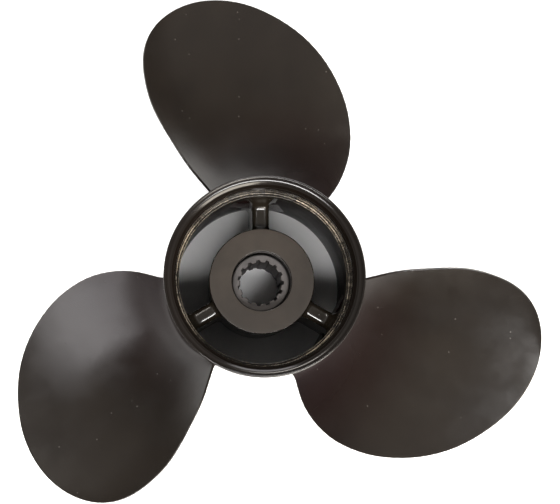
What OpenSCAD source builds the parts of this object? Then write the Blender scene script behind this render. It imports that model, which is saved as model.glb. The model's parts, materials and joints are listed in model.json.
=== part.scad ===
// Three-blade, right-hand outboard propeller with exhaust through the hub.
// The shaft axis is Z. +Z points aft, and the propeller stands on the front end of its barrel.

/* [Blades] */
// Diameter over the blade tips
prop_d = 340; // [320:1:360]
// Advance of the blade face in one turn
pitch = 406; // [360:1:430]
// Lean of the blades towards the rear, in degrees
rake = 9; // [4:0.5:12]
// Height of the blade's middle line above the front of the barrel, at the root
blade_mid_z = 49; // [48:0.5:51]
// Blade thickness at the root
blade_root_t = 13; // [10:0.5:15]
// Blade thickness at the tip
blade_tip_t = 2.6; // [2:0.1:4]
// Thickness of the blade's edges
blade_edge_t = 1.6; // [1:0.1:2.4]
// Rearward curl of the trailing edge, along the axis
cup = 2.4; // [0:0.1:4]
// Radius of the fillet between a blade and the barrel
blade_fillet = 8; // [4:0.5:10]

/* [Barrel] */
// Outside diameter of the barrel
barrel_d = 108; // [106:0.5:110]
// Height of the barrel's rear inner edge
barrel_h = 88; // [87:0.5:90]
// Inside diameter at the front end
barrel_front_bore_d = 101; // [100:0.2:102]
// Inside diameter at the rear end
barrel_rear_bore_d = 98.2; // [97:0.2:99]
// Diameter of the spigot that the flare ring is pressed on
spigot_d = 102.6; // [102:0.1:103.2]
// Length of the spigot
spigot_h = 4; // [3:0.5:4]

/* [Flare ring] */
// Diameter over the lip of the flare ring
lip_d = 116.6; // [113:0.2:120]
// Height of the lip above the front of the barrel
lip_z = 113; // [108:0.5:118]
// Thickness of the lip
lip_t = 1.6; // [1.2:0.1:2.4]
// Height of the flare, above the straight part of the ring
flare_h = 8; // [6:0.5:12]

/* [Inner hub] */
// Outside diameter of the rear shoulder
hub_d = 62.4; // [60:0.2:66]
// Outside diameter at the front end
hub_front_d = 60.4; // [58:0.2:62]
// Height of the front end of the inner hub
hub_front_z = 5; // [3:0.5:7]
// Height of the rear shoulder face
hub_rear_z = 75; // [73:0.5:78]
// Thickness of the rear shoulder
shoulder_t = 14; // [10:0.5:15]
// Diameter of the hole in the rear shoulder
shoulder_hole_d = 35; // [34.4:0.1:36]
// Diameter of the bore that holds the bush
bush_bore_d = 50; // [48:0.2:52]
// Small chamfer at the rear edges
hub_chamfer = 0.6; // [0.3:0.1:1]

/* [Ribs] */
// Thickness of a rib
rib_t = 10; // [8:0.5:12]
// Rounding of a rib's rear edge
rib_round = 2.5; // [1.5:0.1:3.5]
// Height of a rib's rear edge
rib_rear_z = 67; // [62:0.5:70]
// Height of a rib's front edge
rib_front_z = 9; // [8:0.5:14]
// Distance from the axis at which the rear edge starts to rise towards the barrel
rib_rise_r = 42.5; // [40:0.5:44]
// Height that the rear edge reaches at the barrel
rib_wall_z = 82; // [78:0.5:84]

/* [Bush and splined core] */
// Height of the front end of the rubber bush
bush_front_z = 10; // [8:0.5:14]
// Height of the rear end of the rubber bush
bush_rear_z = 57; // [50:0.5:58]
// Outside diameter of the splined core
core_d = 34; // [32:0.2:35]
// Gap between the core and the rear shoulder
core_end_gap = 0.5; // [0.3:0.1:1]
// Radial clearance between the core and the bush
core_clearance = 0.05; // [0.02:0.01:0.1]
// Number of splines
spline_count = 15; // [13:1:15]
// Diameter across the roots of the splines
spline_major_d = 27; // [26:0.1:28]
// Diameter across the tops of the splines
spline_minor_d = 24.4; // [23.5:0.1:25]
// Diameter of the plain pilot bore at the front of the core
pilot_d = 27.2; // [27.1:0.1:28.2]
// Length of the plain pilot bore
pilot_h = 12; // [10:0.5:16]

/* [Hidden] */
$fn = 96;
// Overrun of a cut past the face that it opens, and a finer one for the chamfers
overrun = 1;
eps = 0.01;

paint = [0.16, 0.14, 0.13];
hub_face_paint = [0.29, 0.26, 0.24];
rubber_black = [0.07, 0.07, 0.07];
core_metal = [0.62, 0.60, 0.57];

barrel_r = barrel_d / 2;
tip_r = prop_d / 2;
shoulder_z = barrel_h - spigot_h;
bush_bore_top_z = hub_rear_z - shoulder_t;
core_rear_z = bush_bore_top_z - core_end_gap;
front_edge_chamfer = 0.8;

// Blade outline, from the root to the tip: half of the angle that the blade covers round
// the axis, and the angle of its middle line, which sweeps back towards the tip.
half_angles = [33.5, 36, 34.5, 30.75, 25.5, 19.75, 13.25, 6.75, 0];
mid_angles = [-3.5, -2.75, -1, 2, 5, 7.75, 10, 11, 11.5];
span_steps = 22;
chord_steps = 16;
// The outline ends a hair short of its tip point, so that the last section isn't empty
span_end = 0.985;
// Depth of the blade root inside the barrel wall
root_embed = 1;
cup_start = 0.65;
// The cup fades out over these shares of the span, next to the root and next to the tip
cup_fade = 0.25;
cup_tip_fade = 0.5;
// How sharply the root fillet dies away towards the blade's edges
fillet_edge_power = 4;
thickness_power = 1.3;
root_spacing_power = 1.35;
blade_angles = [90, 210, 330];

flare_steps = 8;
lip_round_steps = 4;
rib_curve_steps = 5;
// Angle between the points of a rib's rounded rear edge
rib_round_step = 15;
// A rib is cut from a block that reaches past both walls
rib_block_from = 20;
rib_block_to = 60;
// Share of the spacing that a groove takes, at the tops and at the roots of the splines
spline_top_share = 0.5;
spline_root_share = 0.36;

// Smooth curve through the values of a table, with t from 0 to 1 along it
function padded(tab, i) =
    i < 0 ? 2 * tab[0] - tab[1] :
    i > len(tab) - 1 ? 2 * tab[len(tab) - 1] - tab[len(tab) - 2] : tab[i];
function cubic(a, b, c, d, f) =
    0.5 * (2 * b + (c - a) * f + (2 * a - 5 * b + 4 * c - d) * f * f + (3 * b - a - 3 * c + d) * f * f * f);
function smooth(tab, t, i) = cubic(padded(tab, i - 1), tab[i], padded(tab, i + 1), padded(tab, i + 2),
                                   t * (len(tab) - 1) - i);
function along(tab, t) = smooth(tab, t, min(floor(t * (len(tab) - 1)), len(tab) - 2));

function span_r(s) = barrel_r + (tip_r - barrel_r) * sin(90 * s);
function outward(r) = max(0, (r - barrel_r) / (tip_r - barrel_r));
function helix_angle(r) = atan(pitch / (2 * PI * r));
function section_t(r) =
    blade_tip_t + (blade_root_t - blade_tip_t) * pow(1 - min(1, outward(r)), thickness_power);
function blade_t(r, u) = blade_edge_t + (section_t(r) - blade_edge_t) * (1 - u * u);
function fillet_gap(r) = max(0, blade_fillet - max(0, r - barrel_r));
function fillet_d(r, u) =
    (blade_fillet - sqrt(pow(blade_fillet, 2) - pow(fillet_gap(r), 2))) * (1 - pow(u, fillet_edge_power));
function eased(t) = t * t * (3 - 2 * t);
function cup_z(r, s, u) =
    cup * pow(max(0, (u - cup_start) / (1 - cup_start)), 2) * min(1, outward(r) / cup_fade)
    * eased(min(1, (1 - s) / cup_tip_fade));

// Point of the blade at radius r and chord place u, from -1 at the leading edge to 1 at the
// trailing edge, set off from the helical face by d towards the rear
function blade_point(r, s, u, d) =
    let (a = chord_a(r, s, u),
         turn = a - arc_angle(r, d * sin(helix_angle(r))),
         face_z = blade_mid_z + pitch * a / 360 + (r - barrel_r) * tan(rake) + cup_z(r, s, u))
    [r * cos(turn), r * sin(turn), face_z + d * cos(helix_angle(r))];
function arc_angle(r, length) = length / r * 180 / PI;
function chord_u(j) = -cos(180 * j / chord_steps);
// The trailing edge is drawn in by its own thickness, so that the outline holds for the whole edge
function edge_angle(r) = arc_angle(r, blade_edge_t * sin(helix_angle(r))) / 2;
function chord_a(r, s, u) =
    along(mid_angles, s) - edge_angle(r) + (along(half_angles, s) - edge_angle(r)) * u;
function section(r, s) = concat(
    [for (j = [0:chord_steps]) let (u = chord_u(j)) blade_point(r, s, u, fillet_d(r, u))],
    [for (j = [chord_steps:-1:0]) let (u = chord_u(j))
        blade_point(r, s, u, -fillet_d(r, u) - blade_t(r, u))]);

module blade_shape() {
    spans = [for (i = [0:span_steps]) span_end * pow(i / span_steps, root_spacing_power)];
    sections = concat([section(barrel_r - root_embed, 0)], [for (s = spans) section(span_r(s), s)]);
    m = 2 * (chord_steps + 1);
    last = len(sections) - 1;
    sides = [for (i = [0:last - 1], k = [0:m - 1]) let (a = i * m + k, b = i * m + (k + 1) % m)
        each [[a, b, b + m], [a, b + m, a + m]]];
    caps = [for (j = [0:chord_steps - 1]) let (a = j, b = j + 1, c = m - 2 - j, d = m - 1 - j, t = last * m)
        each [[c, b, a], [d, c, a], [a + t, b + t, c + t], [a + t, c + t, d + t]]];
    polyhedron(points = [for (ring = sections) each ring], faces = concat(sides, caps), convexity = 6);
}

module blade(i) {
    color(paint) rotate([0, 0, blade_angles[i]]) blade_shape();
}

// The tapered bore of the barrel, extended a little past both ends
module barrel_bore() {
    slope = (barrel_rear_bore_d - barrel_front_bore_d) / 2 / barrel_h;
    translate([0, 0, -overrun])
        cylinder(h = barrel_h + 2 * overrun, r1 = barrel_front_bore_d / 2 - slope * overrun,
                 r2 = barrel_rear_bore_d / 2 + slope * overrun);
}

module hub_barrel() {
    color(paint) difference() {
        union() {
            cylinder(h = front_edge_chamfer, r1 = barrel_r - front_edge_chamfer, r2 = barrel_r);
            translate([0, 0, front_edge_chamfer])
                cylinder(h = shoulder_z - front_edge_chamfer, r = barrel_r);
            cylinder(h = barrel_h, d = spigot_d);
        }
        barrel_bore();
    }
}

// A quarter of an ellipse: straight up at radius r1 and level at radius r2, where it is at height top
function flare(r1, r2, top) = [for (i = [0:flare_steps]) let (a = 90 * i / flare_steps)
    [r1 + (r2 - r1) * (1 - cos(a)), top - flare_h * (1 - sin(a))]];
function reversed(points) = [for (i = [len(points) - 1:-1:0]) points[i]];

module flare_ring() {
    lip_mid_r = lip_d / 2 - lip_t / 2;
    rim_z = lip_z - lip_t / 2;
    inner = flare(spigot_d / 2, lip_mid_r - lip_t / 2, rim_z);
    lip = [for (i = [1:lip_round_steps]) let (a = 180 - 180 * i / lip_round_steps)
        [lip_mid_r + lip_t / 2 * cos(a), rim_z + lip_t / 2 * sin(a)]];
    outer = reversed(flare(barrel_r, lip_d / 2, rim_z - lip_t));
    color(paint) rotate_extrude() polygon(concat([[spigot_d / 2, shoulder_z]], inner, lip, outer,
                                                 [[barrel_r, shoulder_z]]));
}

// The tapered outside of the inner hub
module hub_outside() {
    translate([0, 0, hub_front_z])
        cylinder(h = hub_rear_z - hub_front_z, d1 = hub_front_d, d2 = hub_d);
}

module inner_hub() {
    c = hub_chamfer;
    color(hub_face_paint) difference() {
        hub_outside();
        translate([0, 0, hub_front_z - overrun])
            cylinder(h = bush_bore_top_z - hub_front_z + overrun, d = bush_bore_d);
        cylinder(h = hub_rear_z + overrun, d = shoulder_hole_d);
        translate([0, 0, hub_rear_z - c])
            cylinder(h = c + eps, d1 = shoulder_hole_d, d2 = shoulder_hole_d + 2 * c);
        translate([0, 0, hub_rear_z - c]) difference() {
            cylinder(h = c + overrun, d = hub_d + 2 * overrun);
            translate([0, 0, -eps]) cylinder(h = c + 2 * eps, d1 = hub_d, d2 = hub_d - 2 * c);
        }
    }
}

// Flat plate with a rounded rear edge, seen along the rib
module rib_section() {
    flat = rib_t / 2 - rib_round;
    z = rib_rear_z - rib_round;
    polygon(concat(
        [[-rib_t / 2, rib_front_z], [rib_t / 2, rib_front_z]],
        [for (a = [0:rib_round_step:90]) [flat + rib_round * cos(a), z + rib_round * sin(a)]],
        [for (a = [90:rib_round_step:180]) [-flat + rib_round * cos(a), z + rib_round * sin(a)]]));
}

// Side view of the rise of the rear edge to the barrel wall
module rib_rise() {
    top_z = rib_wall_z - rib_rear_z;
    run = barrel_rear_bore_d / 2 - rib_rise_r;
    curve = [for (i = [0:rib_curve_steps]) let (a = 90 * i / rib_curve_steps)
        [rib_rise_r + run * sin(a), rib_rear_z - rib_round + (top_z + rib_round) * (1 - cos(a))]];
    polygon(concat([[rib_rise_r, rib_rear_z - 2 * rib_round]], curve,
                   [[rib_block_to, rib_wall_z], [rib_block_to, rib_rear_z - 2 * rib_round]]));
}

module rib(i) {
    color(paint) rotate([0, 0, blade_angles[i]]) difference() {
        intersection() {
            union() {
                translate([rib_block_from, 0, 0]) rotate([90, 0, 90])
                    linear_extrude(height = rib_block_to - rib_block_from) rib_section();
                translate([0, rib_t / 2, 0]) rotate([90, 0, 0]) linear_extrude(height = rib_t) rib_rise();
            }
            barrel_bore();
        }
        hub_outside();
    }
}

module rubber_bush() {
    color(rubber_black) translate([0, 0, bush_front_z]) difference() {
        cylinder(h = bush_rear_z - bush_front_z, d = bush_bore_d);
        translate([0, 0, -overrun])
            cylinder(h = bush_rear_z - bush_front_z + 2 * overrun, d = core_d + 2 * core_clearance);
    }
}

module spline_grooves(h) {
    space = PI * spline_major_d / spline_count;
    inner_w = space * spline_top_share;
    outer_w = space * spline_root_share;
    linear_extrude(height = h)
        for (i = [0:spline_count - 1]) rotate([0, 0, i * 360 / spline_count])
            polygon([[0, -inner_w / 2], [spline_minor_d / 2, -inner_w / 2],
                     [spline_major_d / 2, -outer_w / 2], [spline_major_d / 2, outer_w / 2],
                     [spline_minor_d / 2, inner_w / 2], [0, inner_w / 2]]);
}

// The core's front end is level with the front end of the barrel
module spline_core() {
    color(core_metal) difference() {
        cylinder(h = core_rear_z, d = core_d);
        translate([0, 0, -overrun]) cylinder(h = core_rear_z + 2 * overrun, d = spline_minor_d);
        translate([0, 0, -overrun]) cylinder(h = pilot_h + overrun, d = pilot_d);
        translate([0, 0, pilot_h]) spline_grooves(core_rear_z);
    }
}

hub_barrel();
flare_ring();
inner_hub();
rib(0);  // rib_1
rib(1);  // rib_2
rib(2);  // rib_3
blade(0);  // blade_1
blade(1);  // blade_2
blade(2);  // blade_3
rubber_bush();
spline_core();
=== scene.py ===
import json
import math

import bmesh
import bpy
import numpy as np
from mathutils import Matrix, Vector, noise


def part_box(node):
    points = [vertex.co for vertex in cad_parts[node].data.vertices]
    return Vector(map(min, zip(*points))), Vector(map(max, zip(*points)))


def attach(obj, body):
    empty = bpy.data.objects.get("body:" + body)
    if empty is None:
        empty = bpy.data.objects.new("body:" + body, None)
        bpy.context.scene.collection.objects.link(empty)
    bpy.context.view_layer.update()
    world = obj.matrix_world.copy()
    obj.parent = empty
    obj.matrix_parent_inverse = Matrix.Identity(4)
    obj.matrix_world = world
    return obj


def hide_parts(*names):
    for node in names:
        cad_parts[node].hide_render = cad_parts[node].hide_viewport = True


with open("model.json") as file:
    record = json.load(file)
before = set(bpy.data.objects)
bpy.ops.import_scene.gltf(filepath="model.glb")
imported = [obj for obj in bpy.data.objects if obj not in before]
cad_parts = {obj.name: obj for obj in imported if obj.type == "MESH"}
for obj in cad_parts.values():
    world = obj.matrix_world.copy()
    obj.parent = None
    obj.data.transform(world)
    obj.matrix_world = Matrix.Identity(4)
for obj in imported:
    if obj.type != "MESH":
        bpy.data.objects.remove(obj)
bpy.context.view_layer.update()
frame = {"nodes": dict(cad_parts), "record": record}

# Looks of a three-blade outboard propeller. Lengths are in metres and angles in degrees. The shaft
# axis is Z, +Z points aft, and the propeller stands on the front end of its barrel.
MM = 0.001
TINY = 1e-9

# Azimuths of the three blades, and of the three ribs inside the barrel
BLADE_ANGLES = [90, 210, 330]


# ---------------------------------------------------------------- sizes from the CAD frame

def node_radius(name):
    """Largest distance of a CAD node from the shaft axis."""
    return max(v.co.xy.length for v in frame["nodes"][name].data.vertices)


def mount_radius(name):
    """Radius of a bore that the record gives as a mount."""
    mounts = {m["name"]: m for m in frame["record"]["mounts"]}
    return mounts[name]["dims"]["r_mm"] * MM


TIP_R = node_radius("blade_1")
BARREL_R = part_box("hub_barrel")[1].x
BARREL_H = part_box("hub_barrel")[1].z
SHOULDER_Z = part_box("flare_ring")[0].z
LIP_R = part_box("flare_ring")[1].x
LIP_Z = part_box("flare_ring")[1].z
HUB_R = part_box("inner_hub")[1].x
HUB_FRONT_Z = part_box("inner_hub")[0].z
HUB_REAR_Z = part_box("inner_hub")[1].z
HOLE_R = mount_radius("rear_hole")
PILOT_R = mount_radius("shaft_pilot")
BUSH_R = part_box("rubber_bush")[1].x
BUSH_FRONT_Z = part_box("rubber_bush")[0].z
BUSH_REAR_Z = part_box("rubber_bush")[1].z
CORE_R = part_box("spline_core")[1].x
CORE_REAR_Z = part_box("spline_core")[1].z

# Dimensions that the frame's boxes don't give, as in the CAD model
PITCH = 406 * MM
RAKE = 9
BLADE_MID_Z = 49 * MM
ROOT_T = 13 * MM
TIP_T = 2.6 * MM
EDGE_T = 1.6 * MM
CUP = 2.4 * MM
CUP_START = 0.65
CUP_FADE = 0.25
CUP_TIP_FADE = 0.5
THICKNESS_POWER = 1.3
BLADE_FILLET = 8 * MM
# The blade's outline at equal steps of the span, from root to tip: half its width and its middle
HALF_ANGLES = [33.5, 36, 34.5, 30.75, 25.5, 19.75, 13.25, 6.75, 0]
MID_ANGLES = [-3.5, -2.75, -1, 2, 5, 7.75, 10, 11, 11.5]
BORE_FRONT_R = 50.5 * MM
BORE_REAR_R = 49.1 * MM
SPIGOT_R = 51.3 * MM
HUB_FRONT_R = 30.2 * MM
SHOULDER_T = 14 * MM
BUSH_BORE_R = CORE_R + 0.05 * MM
RIB_T = 10 * MM
RIB_REAR_Z = 67 * MM
RIB_FRONT_Z = 9 * MM
RIB_WALL_Z = 82 * MM
RIB_RUN = 6.8 * MM
SPLINES = 15
SPLINE_MAJOR_R = 13.5 * MM
SPLINE_MINOR_R = 12.2 * MM
PILOT_H = 12 * MM


# ---------------------------------------------------------------- mesh helpers

MERGE_DISTANCE = 0.001 * MM


def eased(t):
    """A share from 0 to 1 that starts and ends gently."""
    return t * t * (3 - 2 * t)


def mesh_object(name, points, faces, materials, sharp=38):
    """A smooth-shaded mesh, with edges bent by more than the sharp angle left sharp."""
    mesh = bpy.data.meshes.new(name)
    mesh.from_pydata([tuple(float(x) for x in p) for p in points], [], faces)
    bm = bmesh.new()
    bm.from_mesh(mesh)
    bmesh.ops.remove_doubles(bm, verts=bm.verts, dist=MERGE_DISTANCE)
    bmesh.ops.recalc_face_normals(bm, faces=bm.faces)
    for face in bm.faces:
        face.smooth = True
    for edge in bm.edges:
        edge.smooth = len(edge.link_faces) == 2 and edge.calc_face_angle() < math.radians(sharp)
    bm.to_mesh(mesh)
    bm.free()
    for material in materials:
        mesh.materials.append(material)
    piece = bpy.data.objects.new(name, mesh)
    bpy.context.scene.collection.objects.link(piece)
    return piece


def stands_for(piece, node, body):
    """Ties a piece to its body, and puts it in place of its CAD node."""
    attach(piece, body)
    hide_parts(node)


def grid_faces(rows, columns, close_rows, close_columns):
    """Quads of a grid of points stored row after row."""
    faces = []
    for i in range(rows if close_rows else rows - 1):
        for j in range(columns if close_columns else columns - 1):
            below = (i + 1) % rows
            right = (j + 1) % columns
            faces.append((i * columns + j, i * columns + right,
                          below * columns + right, below * columns + j))
    return faces


def rounded(corners, steps=6):
    """Closed outline through (r, z, radius) corners, each rounded by an arc of its radius."""
    outline = []
    for k, (x, y, radius) in enumerate(corners):
        here = Vector((x, y))
        back = (Vector(corners[k - 1][:2]) - here).normalized()
        ahead = (Vector(corners[(k + 1) % len(corners)][:2]) - here).normalized()
        if radius == 0:
            outline.append(here)
            continue
        half = back.angle(ahead) / 2
        centre = here + (back + ahead).normalized() * radius / math.sin(half)
        start = here + back * radius / math.tan(half) - centre
        turn = math.copysign(math.pi - 2 * half, ahead.cross(back))
        for i in range(steps + 1):
            outline.append(centre + Matrix.Rotation(turn * i / steps, 2) @ start)
    return outline


def subdivided(outline, longest):
    """The outline with its long straight stretches cut into shorter ones."""
    points = []
    for k, here in enumerate(outline):
        ahead = outline[(k + 1) % len(outline)]
        cuts = max(1, math.ceil((ahead - here).length / longest))
        points += [here.lerp(ahead, i / cuts) for i in range(cuts)]
    return points


def lathe(name, outline, materials, segments=384, worn=None):
    """Turns a closed (r, z) outline round the shaft axis. worn moves a point by its azimuth."""
    points = []
    for i in range(segments):
        azimuth = 2 * math.pi * i / segments
        for r, z in outline:
            if worn:
                r, z = worn(r, z, azimuth)
            points.append((r * math.cos(azimuth), r * math.sin(azimuth), z))
    return mesh_object(name, points, grid_faces(segments, len(outline), True, True), materials)


# ---------------------------------------------------------------- shader helpers

NOISE_LOW = 0.3
NOISE_HIGH = 0.7


def connect(tree, socket, value):
    """Links an input to a socket, or sets it to a value."""
    if isinstance(value, bpy.types.NodeSocket):
        tree.links.new(value, socket)
    else:
        socket.default_value = value


def add_node(tree, kind, inputs=None, **settings):
    """Adds a shader node with its settings and inputs."""
    made = tree.nodes.new("ShaderNode" + kind)
    for key, value in settings.items():
        setattr(made, key, value)
    for key, value in (inputs or {}).items():
        connect(tree, made.inputs[key], value)
    return made


def maths(tree, operation, *values):
    return add_node(tree, "Math", dict(enumerate(values)), operation=operation).outputs[0]


def length_of(tree, vector):
    return add_node(tree, "VectorMath", {0: vector}, operation="LENGTH").outputs["Value"]


def ramp(tree, value, from_low, from_high, to_low, to_high):
    """A value mapped from one range to another, smoothly, and held at its ends."""
    inputs = {"Value": value, "From Min": from_low, "From Max": from_high,
              "To Min": to_low, "To Max": to_high}
    return add_node(tree, "MapRange", inputs, interpolation_type="SMOOTHSTEP").outputs["Result"]


def spread(tree, value, to_low, to_high, from_low=NOISE_LOW):
    """The middle range of a noise, where most of it lies, stretched over another range."""
    return ramp(tree, value, from_low, NOISE_HIGH, to_low, to_high)


def mixed(tree, share, a, b):
    """Colour a with a share of colour b."""
    made = add_node(tree, "Mix", data_type="RGBA")
    for name, kind, value in (("Factor", "VALUE", share), ("A", "RGBA", a), ("B", "RGBA", b)):
        connect(tree, next(s for s in made.inputs if s.name == name and s.type == kind), value)
    return next(s for s in made.outputs if s.type == "RGBA")


def noise_value(tree, position, scale, detail=3.0, roughness=0.5):
    inputs = {"Vector": position, "Scale": scale, "Detail": detail, "Roughness": roughness}
    return add_node(tree, "TexNoise", inputs).outputs["Fac"]


def new_material(name):
    """A material with a bare Principled shader, and the position on the object for its patterns."""
    material = bpy.data.materials.new(name)
    material.use_nodes = True
    tree = material.node_tree
    tree.nodes.clear()
    shader = add_node(tree, "BsdfPrincipled")
    output = add_node(tree, "OutputMaterial")
    tree.links.new(shader.outputs["BSDF"], output.inputs["Surface"])
    position = add_node(tree, "TexCoord").outputs["Object"]
    return material, tree, shader, position


def set_inputs(tree, shader, **values):
    """Sets inputs of the shader, with an underscore for each space in a name."""
    for name, value in values.items():
        connect(tree, shader.inputs[name.replace("_", " ")], value)


def bump(tree, height, distance):
    return add_node(tree, "Bump", {"Height": height, "Distance": distance}).outputs["Normal"]


# ---------------------------------------------------------------- materials

BLADE_TONES = ((0.0084, 0.0062, 0.0047, 1), (0.0138, 0.0105, 0.0078, 1))
# Painted shade: the darker, redder colour that the blade paint turns to towards the shaft
ROOT_SHADE_TONE = (0.0118, 0.0048, 0.0052, 1)
HUB_TONES = ((0.0050, 0.0036, 0.0027, 1), (0.0080, 0.0058, 0.0045, 1))
# Painted highlight: the ribs' paint is lighter than the rest of the casting's black paint
RIB_HIGHLIGHT_TONES = ((0.0130, 0.0100, 0.0068, 1), (0.0180, 0.0140, 0.0098, 1))
HUB_FACE_TONES = ((0.023, 0.0172, 0.0126, 1), (0.034, 0.0260, 0.0196, 1))
RUBBER_TONES = ((0.010, 0.010, 0.010, 1), (0.030, 0.029, 0.028, 1))
# Painted shade: the core's metal is kept dark all over, like the shade in the bore
CORE_SHADE_TONES = ((0.14, 0.13, 0.127, 1), (0.105, 0.098, 0.096, 1))
PAPER_TONES = ((0.86, 0.86, 0.86, 1), (0.90, 0.90, 0.90, 1))
DUST_COLOUR = (0.20, 0.18, 0.16, 1)
CHIP_COLOUR = (0.40, 0.335, 0.25, 1)

# Sizes of the patterns, in repeats per metre
CLOUD_SCALE = 16.0
SMEAR_SCALE = 38.0
DUST_SCALE = 260.0
PEEL_SCALE = 420.0
CHIP_SCALE = 1900.0

FINE_RELIEF = 0.02 * MM
COARSE_RELIEF = 0.03 * MM
TURNING_PITCH = 0.5 * MM
DUST_SIZE = 0.16
DUST_COVER = 0.4
# Only cells whose random value is above these hold a speck
DUST_CHOSEN = (0.83, 0.85)
# Wear and grain added together: paint below the first limit and bare metal above the second
CHIP_LIMITS = (1.30, 1.50)
# Share of the painted root shade in the blade paint at the shaft
ROOT_SHADE_SHARE = 0.8
ROOT_SHEEN = 0.13


def dust(tree, position):
    """Sparse specks: 1 at the middle of a few cells and 0 elsewhere."""
    cells = add_node(tree, "TexVoronoi", {"Vector": position, "Scale": DUST_SCALE})
    chosen = ramp(tree, cells.outputs["Color"], *DUST_CHOSEN, 0.0, 1.0)
    speck = ramp(tree, cells.outputs["Distance"], 0.0, DUST_SIZE, 1.0, 0.0)
    return maths(tree, "MULTIPLY", speck, chosen)


def paint(name, tones, roughness, worn=False, sheen=0.5, root_shade_tone=None):
    """Brown-black paint over cast metal, with orange peel and specks of dust.

    With worn, bare metal shows where the mesh is marked as worn. With a root colour, the paint
    turns darker and redder towards the shaft as a painted shade, and loses its sheen there too.
    """
    material, tree, shader, position = new_material(name)
    cloud = noise_value(tree, position, CLOUD_SCALE, 4.0)
    colour = mixed(tree, spread(tree, cloud, 0.0, 1.0), *tones)
    if root_shade_tone:
        reach = length_of(tree, position)
        # Painted shade: darker and redder towards the shaft
        root_shade = ramp(tree, reach, BARREL_R, 0.8 * TIP_R, ROOT_SHADE_SHARE, 0.0)
        colour = mixed(tree, root_shade, colour, root_shade_tone)
        sheen = ramp(tree, reach, 1.1 * BARREL_R, 0.68 * TIP_R, ROOT_SHEEN, sheen)
    specks = dust(tree, position)
    colour = mixed(tree, maths(tree, "MULTIPLY", specks, DUST_COVER), colour, DUST_COLOUR)
    smear = noise_value(tree, position, SMEAR_SCALE, 5.0, 0.6)
    gloss = maths(tree, "ADD", spread(tree, smear, roughness - 0.04, roughness + 0.05),
                  maths(tree, "MULTIPLY", specks, 0.3))
    peel = noise_value(tree, position, PEEL_SCALE, 2.0)
    height = maths(tree, "ADD", peel, maths(tree, "MULTIPLY", specks, 1.5))
    metal = 0.0
    if worn:
        chips = add_node(tree, "Attribute", attribute_name="wear").outputs["Fac"]
        grain = noise_value(tree, position, CHIP_SCALE, 5.0, 0.75)
        wear = maths(tree, "ADD", chips, maths(tree, "MULTIPLY", grain, 1.6))
        bare = ramp(tree, wear, *CHIP_LIMITS, 0.0, 1.0)
        colour = mixed(tree, bare, colour, CHIP_COLOUR)
        metal = maths(tree, "MULTIPLY", bare, 0.4)
        gloss = maths(tree, "ADD", gloss, maths(tree, "MULTIPLY", bare, 0.12))
        height = maths(tree, "SUBTRACT", height, maths(tree, "MULTIPLY", bare, 2.0))
    set_inputs(tree, shader, Base_Color=colour, Roughness=gloss, Metallic=metal,
               Specular_IOR_Level=sheen, Normal=bump(tree, height, FINE_RELIEF))
    return material


def hub_face_paint():
    """Matte paint on the machined rear face: thin, slightly blotched, with faint turning marks."""
    material, tree, shader, position = new_material("hub_face_matte")
    cloud = noise_value(tree, position, 60.0, 5.0, 0.6)
    colour = mixed(tree, spread(tree, cloud, 0.0, 1.0), *HUB_FACE_TONES)
    split = add_node(tree, "SeparateXYZ", {0: position})
    flat = add_node(tree, "CombineXYZ", {0: split.outputs["X"], 1: split.outputs["Y"]}).outputs[0]
    phase = maths(tree, "MULTIPLY", length_of(tree, flat), 2 * math.pi / TURNING_PITCH)
    turned = maths(tree, "SINE", phase)
    grain = noise_value(tree, position, 1500.0, 2.0)
    height = maths(tree, "ADD", grain, maths(tree, "MULTIPLY", turned, 0.08))
    set_inputs(tree, shader, Base_Color=colour, Roughness=spread(tree, cloud, 0.50, 0.58),
               Specular_IOR_Level=0.28, Normal=bump(tree, height, FINE_RELIEF))
    return material


def rubber_material():
    """Black bush rubber, dull, with a fine moulded skin and a grey bloom."""
    material, tree, shader, position = new_material("bush_rubber")
    bloom = noise_value(tree, position, 90.0, 5.0, 0.6)
    colour = mixed(tree, spread(tree, bloom, 0.0, 1.0, from_low=0.35), *RUBBER_TONES)
    skin = noise_value(tree, position, 1100.0, 3.0)
    set_inputs(tree, shader, Base_Color=colour, Roughness=spread(tree, bloom, 0.55, 0.75),
               Normal=bump(tree, skin, COARSE_RELIEF))
    return material


def core_material():
    """Satin machined metal, made dark all over as painted shade, with fine marks round the axis."""
    material, tree, shader, position = new_material("core_satin_metal_painted_shade")
    squeezed = add_node(tree, "Mapping", {"Vector": position, "Scale": (1.0, 1.0, 18.0)})
    marks = noise_value(tree, squeezed.outputs["Vector"], 160.0, 4.0, 0.6)
    stain = noise_value(tree, position, 70.0, 4.0)
    colour = mixed(tree, spread(tree, stain, 0.0, 1.0, from_low=0.35), *CORE_SHADE_TONES)
    set_inputs(tree, shader, Base_Color=colour, Metallic=1.0,
               Roughness=spread(tree, marks, 0.48, 0.60), Normal=bump(tree, marks, FINE_RELIEF))
    return material


# ---------------------------------------------------------------- blades

def along(table, t):
    """Smooth curve through the values of a table, with t from 0 to 1 along it."""
    last = len(table) - 1
    padded = np.array([2 * table[0] - table[1], *table, 2 * table[last] - table[last - 1]], float)
    x = np.asarray(t, float) * last
    i = np.minimum(np.floor(x).astype(int), last - 1)
    f = x - i
    a, b, c, d = (padded[i + k] for k in range(4))
    return 0.5 * (2 * b + (c - a) * f + (2 * a - 5 * b + 4 * c - d) * f**2
                  + (3 * b - a - 3 * c + d) * f**3)


def span_r(s):
    """The radius at a share of the span, whose steps get shorter towards the tip."""
    return BARREL_R + (TIP_R - BARREL_R) * np.sin(np.pi / 2 * s)


def span_s(r):
    """The share of the span at which the outline reaches radius r."""
    share = np.clip((r - BARREL_R) / (TIP_R - BARREL_R), 0, 1)
    return np.arcsin(share) * 2 / np.pi


def helix(r):
    """Angle of the blade to the plane of rotation at radius r."""
    return np.arctan(PITCH / (2 * np.pi * r))


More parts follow.
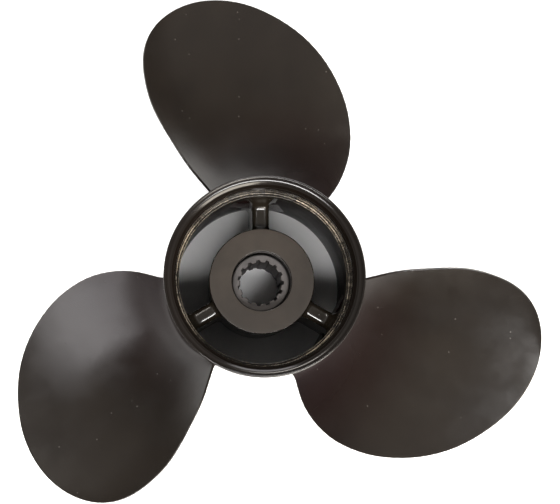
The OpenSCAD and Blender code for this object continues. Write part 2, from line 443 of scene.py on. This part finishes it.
def outline_half(s, r):
    """Half of the section's length along the helix."""
    edge = EDGE_T * np.sin(helix(r)) / 2
    return np.maximum(0, np.radians(along(HALF_ANGLES, s)) * r - edge) / np.cos(helix(r))


def outline_mid(s, r):
    """Azimuth of the section's middle, counted from the middle of the root."""
    return np.radians(along(MID_ANGLES, s)) - EDGE_T * np.sin(helix(r)) / 2 / r


ROOT_EMBED = 1 * MM
FILLET_STATIONS = 12
SPAN_STATIONS = 110
EDGE_SAMPLES = 500
NOSE_STEPS = 6
CHORD_STEPS = 44
NOSE_SHARE = 0.4
LEADING_FILLET = 0.5
TRAILING_FILLET = 0.15
TRAILING_ROUND = 0.45 * MM


def fillet_offset(r):
    """How far the root fillet stands out from the blade's faces at radius r."""
    gap = np.clip(BLADE_FILLET - np.maximum(0, r - BARREL_R), 0, BLADE_FILLET)
    return BLADE_FILLET - np.sqrt(BLADE_FILLET**2 - gap**2)


def blade_stations():
    """Radii of the sections: close together in the root fillet and at the tip."""
    turn = np.linspace(0, np.pi / 2, FILLET_STATIONS + 1)
    root = BARREL_R + BLADE_FILLET * (1 - np.cos(turn))
    outer = np.linspace(span_s(root[-1]), 1, SPAN_STATIONS + 1)[1:]
    return np.concatenate([[BARREL_R - ROOT_EMBED], root, span_r(outer)])


def outline_points():
    """The blade's edge as (radius, angle) points, used to find how far a point is from it."""
    s = np.linspace(0, 1, EDGE_SAMPLES)
    r = span_r(s)
    angle = outline_half(s, r) * np.cos(helix(r)) / r
    mid = outline_mid(s, r)
    return np.concatenate([np.stack([r, mid - angle], 1), np.stack([r, mid + angle], 1)])


def edge_distance(r, angle, edge):
    """Distance of points at radius r from the blade's edge, along the helical surface."""
    metric = r / np.cos(helix(r))
    apart = np.hypot(edge[None, :, 0] - r, (edge[None, :, 1] - angle[:, None]) * metric)
    return apart.min(1)


def section_loop(r, edge):
    """One closed section of the blade: rear face from the leading edge out, forward face back."""
    s = span_s(r)
    delta = fillet_offset(r)
    length = outline_half(s, r)
    ends = {}
    for side, share in ((-1, LEADING_FILLET), (1, TRAILING_FILLET)):
        flat = EDGE_T / 2 if side < 0 else TRAILING_ROUND
        ends[side] = (length + share * delta, min(flat + share * delta, NOSE_SHARE * length + TINY))
    nose = 1 - np.cos(np.linspace(0, np.pi / 2, NOSE_STEPS + 1))
    start = -ends[-1][0] + ends[-1][1] * nose
    finish = (ends[1][0] - ends[1][1] * nose)[::-1]
    steps = (1 - np.cos(np.linspace(0, np.pi, CHORD_STEPS + 1))) / 2
    middle = start[-1] + (finish[0] - start[-1]) * steps
    c = np.concatenate([start[:-1], middle, finish[1:]])
    u = np.clip(c / max(length, TINY), -1, 1)
    outward = min(1, max(0, (r - BARREL_R) / (TIP_R - BARREL_R)))
    full = TIP_T + (ROOT_T - TIP_T) * (1 - outward) ** THICKNESS_POWER
    thick = EDGE_T + (full - EDGE_T) * (1 - u**2)
    floor = np.where(u < 0, LEADING_FILLET, TRAILING_FILLET)
    grow = delta * (floor + (1 - floor) * (1 - u**4))
    mid = outline_mid(s, r)
    away = edge_distance(r, mid + c * np.cos(helix(r)) / r, edge)
    if delta > 0:
        away = np.minimum(ends[-1][0] + c, ends[1][0] - c)
    side_round = np.where(u < 0, EDGE_T / 2, TRAILING_ROUND) + floor * delta
    half_edge = EDGE_T / 2 + floor * delta
    inside = np.maximum(0, side_round - away)
    pull = side_round - np.sqrt(np.maximum(0, side_round**2 - inside**2))
    pull = np.minimum(pull, half_edge)
    rear = grow - pull
    forward = -thick - grow + pull
    fade = min(1, outward / CUP_FADE) * eased(min(1, (1 - s) / CUP_TIP_FADE))
    lift = CUP * np.maximum(0, (u - CUP_START) / (1 - CUP_START)) ** 2 * fade
    return [(c[k], rear[k], lift[k]) for k in range(len(c))] + [
        (c[k], forward[k], lift[k]) for k in range(len(c) - 1, -1, -1)], mid


def blade_mesh():
    """Points and faces of a blade whose root is centred on azimuth 0."""
    edge = outline_points()
    points = []
    radii = blade_stations()
    for r in radii:
        loop, mid = section_loop(r, edge)
        slope = helix(r)
        rake = max(0, r - BARREL_R) * math.tan(math.radians(RAKE))
        base_z = BLADE_MID_Z + PITCH * mid / (2 * np.pi) + rake
        for c, d, lift in loop:
            angle = mid + (c * np.cos(slope) - d * np.sin(slope)) / r
            z = base_z + c * np.sin(slope) + d * np.cos(slope) + lift
            points.append((r * np.cos(angle), r * np.sin(angle), z))
    columns = len(points) // len(radii)
    faces = grid_faces(len(radii), columns, False, True)
    faces.append(tuple(range(columns - 1, -1, -1)))
    return points, faces


def make_blades(material):
    """Three equal blades, made once and turned into place."""
    points, faces = blade_mesh()
    for number, azimuth in enumerate(BLADE_ANGLES, 1):
        piece = mesh_object(f"blade_{number}_surface", points, faces, [material], sharp=50)
        piece.data.transform(Matrix.Rotation(math.radians(azimuth), 4, "Z"))
        stands_for(piece, f"blade_{number}", "casting")


# ---------------------------------------------------------------- barrel and flare ring

# The stretches of the seam where the paint has chipped: middle and half width of each
CHIPPED = [(45, 32), (158, 22), (208, 24), (312, 20)]
CHIPPED_ELSEWHERE = 0.72
SEAM_MID_R = (BORE_REAR_R + SPIGOT_R) / 2
SEAM_OUTER_R = SPIGOT_R + 1.5 * MM
SEAM_WEAR_DEPTH = 0.22 * MM
DENT_HEIGHT = 0.9 * MM
DENT_REACH = 0.02
DENT_SIZES = (1.3 * MM, 0.5 * MM)
WEAR_HEIGHT = 0.8 * MM
WEAR_REACH = 3 * MM
WEAR_WIDTH = 0.45 * MM
PATCH_SIZE = 2.2 * MM
BEAD = 0.7 * MM
SEAM_SEGMENTS = 720


def bell(distance, width):
    """1 at no distance, and falling smoothly to nothing beyond the width."""
    return math.exp(-(distance / width) ** 2)


def chipping(azimuth):
    """How badly the seam is chipped at an azimuth in radians, from 0 to 1."""
    amount = CHIPPED_ELSEWHERE
    for middle, half in CHIPPED:
        away = abs((math.degrees(azimuth) - middle + 180) % 360 - 180)
        amount = max(amount, 1 - (away / half) ** 4 if away < half else 0)
    return amount


def seam_wear(r, z, azimuth):
    """Chips the rear inner edges of the barrel and the first edge of the ring."""
    near = bell(z - BARREL_H, DENT_HEIGHT)
    if near < DENT_REACH or r > SEAM_OUTER_R:
        return r, z
    place = Vector((r * math.cos(azimuth), r * math.sin(azimuth), z))
    coarse, fine = (noise.noise(place / size) for size in DENT_SIZES)
    dent = max(0.0, coarse + 0.5 * fine + 0.1) * SEAM_WEAR_DEPTH * chipping(azimuth) * near
    return r - 0.4 * dent * math.copysign(1, r - SEAM_MID_R), z - dent


def mark_wear(piece):
    """Stores how worn each point of the seam is, for the paint to show bare metal."""
    layer = piece.data.attributes.new("wear", "FLOAT", "POINT")
    for vertex in piece.data.vertices:
        co = vertex.co
        radius = co.xy.length
        if abs(co.z - BARREL_H) > WEAR_REACH or not BORE_REAR_R - 1 * MM < radius < SEAM_OUTER_R:
            continue
        away = min(abs(radius - edge) for edge in (BORE_REAR_R, SPIGOT_R - BEAD))
        on_edge = 0.3 + 0.7 * bell(away, WEAR_WIDTH)
        patch = 0.8 + 0.2 * noise.noise(co / PATCH_SIZE)
        worn = bell(co.z - BARREL_H, WEAR_HEIGHT) * on_edge * chipping(math.atan2(co.y, co.x))
        layer.data[vertex.index].value = worn * patch


def make_barrel(material, bore_material):
    """The barrel, with a shoulder and a spigot that the flare ring sits on."""
    edge = 0.35 * MM
    corners = [(BORE_FRONT_R, 0, 0.5 * MM), (BARREL_R, 0, 0.7 * MM),
               (BARREL_R, SHOULDER_Z, 0.15 * MM), (SPIGOT_R, SHOULDER_Z, 0),
               (SPIGOT_R, BARREL_H, edge), (SPIGOT_R - 2 * edge, BARREL_H, 0),
               (BORE_REAR_R + 2 * edge, BARREL_H, 0), (BORE_REAR_R, BARREL_H, edge)]
    outline = subdivided(rounded(corners), 9 * MM)
    materials = [material, bore_material]
    piece = lathe("hub_barrel_surface", outline, materials, SEAM_SEGMENTS, seam_wear)
    for polygon in piece.data.polygons:
        if polygon.center.xy.length < BORE_FRONT_R and polygon.center.z < BARREL_H - 2 * edge:
            polygon.material_index = 1
    mark_wear(piece)
    stands_for(piece, "hub_barrel", "casting")


FLARE_H = 8 * MM
LIP_T = 1.6 * MM
LIP_SET_IN = 0.25 * MM
BEAD_GAP = 0.02 * MM


def flare(r1, r2, top, steps):
    """A quarter of an ellipse: straight up at radius r1, and level at r2 at height top."""
    turns = np.linspace(0, math.pi / 2, steps + 1)
    return [Vector((r1 + (r2 - r1) * (1 - math.cos(a)), top - FLARE_H * (1 - math.sin(a))))
            for a in turns]


def make_ring(material):
    """The flare ring: a small bead over the seam, a straight wall, the flare and the rolled lip."""
    half = LIP_T / 2
    rim = LIP_Z - half
    heights = np.linspace(BARREL_H + 2 * BEAD, rim - FLARE_H, 6)[:-1]
    wall = [Vector((SPIGOT_R, z)) for z in heights]
    inside = flare(SPIGOT_R, LIP_R - 2 * half - LIP_SET_IN, rim - LIP_SET_IN, 20)
    centre = Vector((LIP_R - half, rim))
    turns = np.radians(range(195, -1, -15))
    roll = [centre + Vector((math.cos(a), math.sin(a))) * half for a in turns]
    outside = flare(BARREL_R, LIP_R, rim - LIP_T, 12)[::-1]
    seat = [Vector((BARREL_R, SHOULDER_Z)), Vector((SPIGOT_R, SHOULDER_Z)),
            Vector((SPIGOT_R, BARREL_H))]
    bead_z = BARREL_H + BEAD_GAP
    bead = [Vector((SPIGOT_R - BEAD + BEAD * math.sin(a), bead_z + BEAD * (1 - math.cos(a))))
            for a in np.linspace(0, math.pi / 2, 7)]
    outline = bead + wall + inside + roll + outside + seat
    piece = lathe("flare_ring_surface", outline, [material], SEAM_SEGMENTS, seam_wear)
    mark_wear(piece)
    stands_for(piece, "flare_ring", "casting")


# ---------------------------------------------------------------- inner hub and ribs

def make_hub(side_material, face_material):
    """The inner hub, whose flat rear face has its own paint."""
    edge = 0.6 * MM
    under = HUB_REAR_Z - SHOULDER_T
    corners = [(BUSH_R, HUB_FRONT_Z, edge), (HUB_FRONT_R, HUB_FRONT_Z, 1.2 * MM),
               (HUB_R, HUB_REAR_Z, edge), (HOLE_R, HUB_REAR_Z, edge), (HOLE_R, under, edge),
               (BUSH_R, under, 1.5 * MM)]
    outline = subdivided(rounded(corners), 3 * MM)
    piece = lathe("inner_hub_surface", outline, [side_material, face_material])
    for polygon in piece.data.polygons:
        if polygon.normal.z > 0.95 and polygon.center.z > HUB_REAR_Z - 0.1 * MM:
            polygon.material_index = 1
    stands_for(piece, "inner_hub", "casting")


HUB_BLEND = 2.5 * MM
WALL_BLEND = 4.5 * MM
RIB_ROUND = 3.4 * MM
RIB_FRONT_ROUND = 1.5 * MM
RIB_ARC_STEPS = 8
# Pieces that the rib section's front, right, rear and left sides are cut into
RIB_SIDE_CUTS = [6, 10, 4, 10]


def blend(gap, radius):
    """How far a fillet of this radius stands out at a distance from the wall that it meets."""
    short = min(radius, max(0.0, radius - gap))
    return radius - math.sqrt(radius**2 - short**2)


def rib_stations(span):
    """Distances from the inner hub, close together where the rib meets each wall."""
    turns = [math.radians(a) for a in range(0, 91, 9)]
    near_hub = [HUB_BLEND * (1 - math.cos(a)) for a in turns]
    near_wall = [span - RIB_RUN * (1 - math.cos(a)) for a in reversed(turns)]
    between = np.linspace(near_hub[-1], near_wall[0], 8)[1:-1]
    return [-1.5 * MM, *near_hub, *between, *near_wall, span + 1 * MM]


def rib_section(gap_hub, gap_wall):
    """Closed (y, z) outline of the rib at a place between the two walls."""
    widen = blend(gap_hub, HUB_BLEND) + blend(gap_wall, WALL_BLEND)
    half = RIB_T / 2 + widen
    share = min(1.0, max(0.0, (RIB_RUN - gap_wall) / RIB_RUN))
    rise = (RIB_WALL_Z - RIB_REAR_Z) * (1 - math.sqrt(1 - share**2))
    top = RIB_REAR_Z + rise + blend(gap_hub, HUB_BLEND)
    low = RIB_FRONT_Z - blend(gap_hub, HUB_BLEND) - blend(gap_wall, HUB_BLEND)
    corners = [(-half, low, RIB_FRONT_ROUND), (half, low, RIB_FRONT_ROUND),
               (half, top, RIB_ROUND), (-half, top, RIB_ROUND)]
    outline = rounded(corners, RIB_ARC_STEPS)
    per_arc = RIB_ARC_STEPS + 1
    points = []
    for k, cuts in enumerate(RIB_SIDE_CUTS):
        arc = outline[k * per_arc:(k + 1) * per_arc]
        ahead = outline[((k + 1) * per_arc) % len(outline)]
        points += arc
        points += [arc[-1].lerp(ahead, i / cuts) for i in range(1, cuts)]
    return points


def rib_mesh():
    """Points and faces of the rib at azimuth 0."""
    span = (BORE_FRONT_R + BORE_REAR_R) / 2 - (HUB_R + HUB_FRONT_R) / 2
    stations = rib_stations(span)
    points = []
    for place in stations:
        for y, z in rib_section(max(0, place), max(0, span - place)):
            along_hub = (z - HUB_FRONT_Z) / (HUB_REAR_Z - HUB_FRONT_Z)
            hub = HUB_FRONT_R + (HUB_R - HUB_FRONT_R) * along_hub
            wall = BORE_FRONT_R + (BORE_REAR_R - BORE_FRONT_R) * z / BARREL_H
            x_hub = math.sqrt(hub**2 - y**2)
            x_wall = math.sqrt(wall**2 - y**2)
            points.append((x_hub + (x_wall - x_hub) * place / span, y, z))
    columns = len(points) // len(stations)
    faces = grid_faces(len(stations), columns, False, True)
    faces.append(tuple(range(columns - 1, -1, -1)))
    faces.append(tuple(range((len(stations) - 1) * columns, len(stations) * columns)))
    return points, faces


def make_ribs(material):
    """Three equal ribs, each at its blade's azimuth."""
    points, faces = rib_mesh()
    for number, azimuth in enumerate(BLADE_ANGLES, 1):
        piece = mesh_object(f"rib_{number}_surface", points, faces, [material], sharp=60)
        piece.data.transform(Matrix.Rotation(math.radians(azimuth), 4, "Z"))
        stands_for(piece, f"rib_{number}", "casting")


# ---------------------------------------------------------------- bush and splined core

def make_bush(material):
    """The rubber bush, with a shallow moulded groove in each end."""
    groove = 0.8 * MM
    edge = 0.3 * MM
    middle = (BUSH_R + CORE_R) / 2
    ends = []
    for z, into in ((BUSH_FRONT_Z, 1), (BUSH_REAR_Z, -1)):
        bottom = z + into * groove
        ends.append([(middle - 2 * MM, z, edge), (middle - 1.2 * MM, bottom, edge),
                     (middle + 1.2 * MM, bottom, edge), (middle + 2 * MM, z, edge)])
    corners = [(BUSH_BORE_R, BUSH_FRONT_Z, 0.5 * MM), *ends[0], (BUSH_R, BUSH_FRONT_Z, 0.8 * MM),
               (BUSH_R, BUSH_REAR_Z, 0.8 * MM), *reversed(ends[1]),
               (BUSH_BORE_R, BUSH_REAR_Z, 0.5 * MM)]
    piece = lathe("rubber_bush_surface", subdivided(rounded(corners, 4), 4 * MM), [material], 256)
    stands_for(piece, "rubber_bush", "casting")


SPLINE_TOP_SHARE = 0.5
SPLINE_ROOT_SHARE = 0.36
SAMPLES_PER_SPLINE = 28


def spline_radius(azimuth):
    """Inner radius of the splined bore at an azimuth."""
    pitch = 2 * math.pi / SPLINES
    away = abs((azimuth + pitch / 2) % pitch - pitch / 2) / pitch
    share = (away - SPLINE_ROOT_SHARE / 2) / ((SPLINE_TOP_SHARE - SPLINE_ROOT_SHARE) / 2)
    share = min(1, max(0, share))
    return SPLINE_MAJOR_R + (SPLINE_MINOR_R - SPLINE_MAJOR_R) * eased(share)


def make_core(material):
    """The splined core, from a closed outline of (splined, r, z) rows.

    On a splined row, r is counted from the radius of the splines.
    """
    c = 0.5 * MM
    rear = CORE_REAR_Z
    rows = [(0, PILOT_R + c, 0), (0, PILOT_R + c / 2, 0.2 * MM), (0, PILOT_R, c)]
    rows += [(0, PILOT_R, PILOT_H - c), (0, PILOT_R, PILOT_H)]
    rows += [(1, 0, PILOT_H), (1, 0, PILOT_H + c)]
    rows += [(1, 0, z) for z in np.linspace(PILOT_H + 4 * MM, rear - 2 * c, 8)]
    rows += [(1, c * 0.3, rear - c * 0.5), (1, c, rear)]
    rows += [(0, CORE_R - 2 * c, rear), (0, CORE_R - c, rear)]
    rows += [(0, CORE_R - 0.3 * c, rear - 0.3 * c), (0, CORE_R, rear - c)]
    rows += [(0, CORE_R, z) for z in np.linspace(rear - 6 * MM, 6 * MM, 6)]
    rows += [(0, CORE_R, c), (0, CORE_R - 0.3 * c, 0.3 * c), (0, CORE_R - c, 0)]
    samples = SPLINES * SAMPLES_PER_SPLINE
    points = []
    for i in range(samples):
        azimuth = 2 * math.pi * i / samples
        for splined, r, z in rows:
            radius = r + (spline_radius(azimuth) if splined else 0)
            points.append((radius * math.cos(azimuth), radius * math.sin(azimuth), z))
    faces = grid_faces(samples, len(rows), True, True)
    piece = mesh_object("spline_core_surface", points, faces, [material], sharp=30)
    stands_for(piece, "spline_core", "core")


# ---------------------------------------------------------------- stage, lights and camera

FLOOR_R = 6.0
FLOOR_STEPS = 96
FLOOR_GLOW = 0.7
HOLE_GLOW = 0.22


def make_floor():
    """A large pale paper floor.

    It gives off light outside the barrel, so that shadows on it stay faint, and a light graded
    from one side to the other inside the pilot bore.
    """
    material, tree, shader, position = new_material("paper_floor")
    fibre = noise_value(tree, position, 320.0, 4.0, 0.6)
    colour = mixed(tree, fibre, *PAPER_TONES)
    reach = length_of(tree, position)
    split = add_node(tree, "SeparateXYZ", {0: position})
    slant = maths(tree, "SUBTRACT", split.outputs["Y"], split.outputs["X"])
    graded = ramp(tree, slant, -0.5 * PILOT_R, 1.2 * PILOT_R, 0.0, HOLE_GLOW)
    in_bore = ramp(tree, reach, PILOT_R, PILOT_R + 1 * MM, 1.0, 0.0)
    glow = maths(tree, "ADD", ramp(tree, reach, BORE_FRONT_R, BARREL_R, 0.0, FLOOR_GLOW),
                 maths(tree, "MULTIPLY", graded, in_bore))
    set_inputs(tree, shader, Base_Color=colour, Roughness=0.9, Specular_IOR_Level=0.2,
               Emission_Color=(1, 1, 1, 1), Emission_Strength=glow,
               Normal=bump(tree, fibre, COARSE_RELIEF))
    turns = [2 * math.pi * i / FLOOR_STEPS for i in range(FLOOR_STEPS)]
    points = [(0, 0, 0)] + [(FLOOR_R * math.cos(a), FLOOR_R * math.sin(a), 0) for a in turns]
    faces = [(0, i + 1, (i + 1) % FLOOR_STEPS + 1) for i in range(FLOOR_STEPS)]
    mesh_object("floor", points, faces, [material])


def direction(azimuth, polar):
    """Unit vector at an azimuth from +X and a polar angle from +Z."""
    a, p = math.radians(azimuth), math.radians(polar)
    return Vector((math.sin(p) * math.cos(a), math.sin(p) * math.sin(a), math.cos(p)))


# Brightness of the room by direction: 0 is straight down, 0.5 the horizon and 1 straight up
ROOM = [(0.0, 0.85), (0.50, 0.85), (0.53, 0.55), (0.60, 0.14), (0.68, 0.14),
        (0.76, 0.30), (0.84, 0.50), (0.90, 0.42), (1.0, 0.16)]
ROOM_TINT = (1.0, 0.96, 0.92)


def make_room():
    """Studio surroundings: bright to the horizon, then a dark band, a paler one and a dim top."""
    world = bpy.data.worlds.new("studio")
    bpy.context.scene.world = world
    world.use_nodes = True
    tree = world.node_tree
    tree.nodes.clear()
    way = add_node(tree, "TexCoord").outputs["Generated"]
    height = add_node(tree, "SeparateXYZ", {0: way}).outputs["Z"]
    share = maths(tree, "MULTIPLY_ADD", height, 0.5, 0.5)
    tones = add_node(tree, "ValToRGB", {"Fac": share})
    while len(tones.color_ramp.elements) < len(ROOM):
        tones.color_ramp.elements.new(0.5)
    for element, (place, level) in zip(tones.color_ramp.elements, ROOM):
        element.position = place
        element.color = (*(level * tint for tint in ROOM_TINT), 1)
    background = add_node(tree, "Background", {"Color": tones.outputs["Color"], "Strength": 1.0})
    output = add_node(tree, "OutputWorld")
    tree.links.new(background.outputs[0], output.inputs["Surface"])


def soft_box(name, azimuth, polar, distance, width, height, radiance, colour):
    """A rectangular softbox aimed at the propeller, of a given brightness."""
    light = bpy.data.lights.new(name, "AREA")
    light.shape = "RECTANGLE"
    light.size = width
    light.size_y = height
    light.energy = radiance * math.pi * width * height
    light.color = colour
    box = bpy.data.objects.new(name, light)
    bpy.context.scene.collection.objects.link(box)
    way = direction(azimuth, polar)
    box.location = way * distance
    box.rotation_euler = way.to_track_quat("Z", "Y").to_euler()
    box.visible_camera = False


# Name, azimuth, polar angle, distance, width, height, radiance and colour of each softbox
SOFT_BOXES = [
    ("key_light", 272, 23, 2.6, 1.7, 0.45, 31.0, (1.0, 0.985, 0.97)),
    ("far_light", 86, 69, 2.0, 1.2, 1.0, 3.9, (1.0, 0.965, 0.985)),
    ("near_light", 297, 66, 2.0, 1.3, 1.4, 10.5, (1.0, 0.92, 0.80)),
    ("rim_light", 98, 31, 2.0, 0.7, 0.25, 17.0, (1.0, 0.95, 0.88)),
]


CAMERA_TILT = 5.2
CAMERA_AZIMUTH = 238.3
CAMERA_DISTANCE = 1.349
CAMERA_AIM = Vector((8.8 * MM, 13.9 * MM, LIP_Z))
CAMERA_ROLL = -0.47
CAMERA_LENS = 151
CAMERA_SENSOR = 36
CAMERA_CLIP = (0.05, 50)


def make_camera():
    """Looks almost straight down the shaft from the rear, with blade 1 towards the top."""
    camera = bpy.data.cameras.new("camera")
    camera.lens = CAMERA_LENS
    camera.sensor_width = CAMERA_SENSOR
    camera.clip_start, camera.clip_end = CAMERA_CLIP
    holder = bpy.data.objects.new("camera", camera)
    bpy.context.scene.collection.objects.link(holder)
    place = Vector((0, 0, LIP_Z)) + direction(CAMERA_AZIMUTH, CAMERA_TILT) * CAMERA_DISTANCE
    back = (place - CAMERA_AIM).normalized()
    right = Vector((0, 1, 0)).cross(back).normalized()
    up = back.cross(right)
    level = Matrix((right, up, back)).transposed().to_4x4()
    roll = Matrix.Rotation(math.radians(CAMERA_ROLL), 4, "Z")
    holder.matrix_world = Matrix.Translation(place) @ level @ roll
    bpy.context.scene.camera = holder


# ---------------------------------------------------------------- the whole scene

make_camera()
blade_paint = paint("blade_paint_semigloss", BLADE_TONES, 0.20, root_shade_tone=ROOT_SHADE_TONE)
casting_paint = paint("hub_paint_gloss", HUB_TONES, 0.15)
worn_paint = paint("worn_paint_gloss", HUB_TONES, 0.15, worn=True)
make_blades(blade_paint)
make_barrel(worn_paint, paint("bore_paint_dull", HUB_TONES, 0.42, sheen=0.14))
make_ring(worn_paint)
make_hub(casting_paint, hub_face_paint())
# The ribs get the lighter paint as a painted highlight
make_ribs(paint("rib_paint_satin_painted_highlight", RIB_HIGHLIGHT_TONES, 0.19, sheen=0.8))
make_bush(rubber_material())
make_core(core_material())
make_floor()
make_room()
for box in SOFT_BOXES:
    soft_box(*box)
bpy.context.scene.view_settings.view_transform = "Standard"
